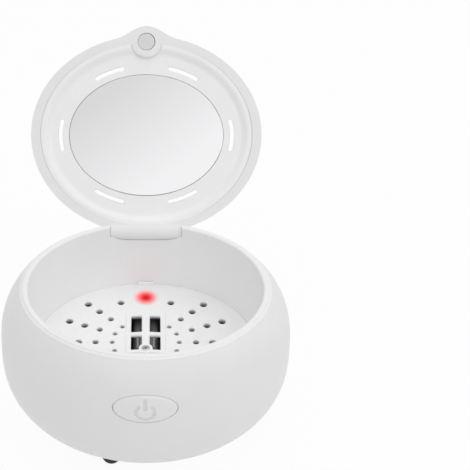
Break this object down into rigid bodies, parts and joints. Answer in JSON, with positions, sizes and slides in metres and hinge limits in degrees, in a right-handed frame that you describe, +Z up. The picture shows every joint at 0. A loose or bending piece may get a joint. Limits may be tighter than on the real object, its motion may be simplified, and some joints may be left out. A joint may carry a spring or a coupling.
{
  "type": "hearing aid uv dryer box",
  "caption": "Pebble-shaped drying box with an oval bowl, a perforated tray over an ultraviolet lamp, a hinged mirror lid, a front power button and a rear power inlet.",
  "frame": {"origin": "centre of the base cover's flat underside", "axes": "+Z up, -Y towards the front with the power button, +X to the right as seen from the front"},
  "size_m": [0.084, 0.1127, 0.0894],
  "materials": {
    "white_shell": "satin white moulding",
    "white_liner": "satin white moulding",
    "white_tray": "fine matt white moulding",
    "mirror_glass": "polished",
    "foam_tape": "soft foam tape",
    "lamp_quartz": "clear tube over a dark reflector",
    "ceramic": "unglazed ceramic",
    "aluminium": "bright sheet",
    "steel": "plated",
    "heater_stone": "fired ceramic",
    "red_lens": "tinted lens",
    "board_green": "solder mask",
    "black_plastic": "moulded",
    "copper_core": "varnished winding",
    "black_rubber": "matt"
  },
  "bodies": {
    "base": {"outer_shell": "white_shell", "inner_bowl": "white_liner", "tray_plate": "white_tray", "lamp_grille": "white_tray", "grille_screw": "steel", "uv_lamp": "lamp_quartz", "lamp_holder": "ceramic", "lamp_reflector": "aluminium", "ptc_element": "heater_stone", "heater_plate": "aluminium", "indicator_led": "red_lens", "main_board": "board_green", "lamp_transformer": "copper_core", "timer_chip": "black_plastic", "capacitor": "aluminium", "usb_board": "board_green", "usb_receptacle": "steel", "switch_board": "board_green", "tact_switch": "black_plastic", "lid_sensor": "lamp_quartz", "base_cover": "white_shell", "hinge_pin": "steel", "base_screw_1": "steel", "base_screw_2": "steel", "base_screw_3": "steel", "base_screw_4": "steel", "board_screw_1": "steel", "board_screw_2": "steel", "foot_1": "black_rubber", "foot_2": "black_rubber", "foot_3": "black_rubber", "foot_4": "black_rubber"},
    "button": {"button_cap": "white_shell"},
    "lid": {"lid_shell": "white_shell", "lid_liner": "white_liner", "mirror": "mirror_glass", "mirror_pad": "foam_tape", "lid_magnet": "steel"}
  },
  "joints": [
    {"name": "lid_hinge", "type": "hinge", "parent": "base", "child": "lid", "pos_m": [0, 0.0299, 0.0436], "axis": [1, 0, 0], "range_deg": [0, 132]},
    {"name": "button_press", "type": "slide", "parent": "base", "child": "button", "axis": [0, 1, 0], "range_m": [0, 0.0005], "stiffness_N_per_m": 800, "springref_m": -0.0005}
  ]
}
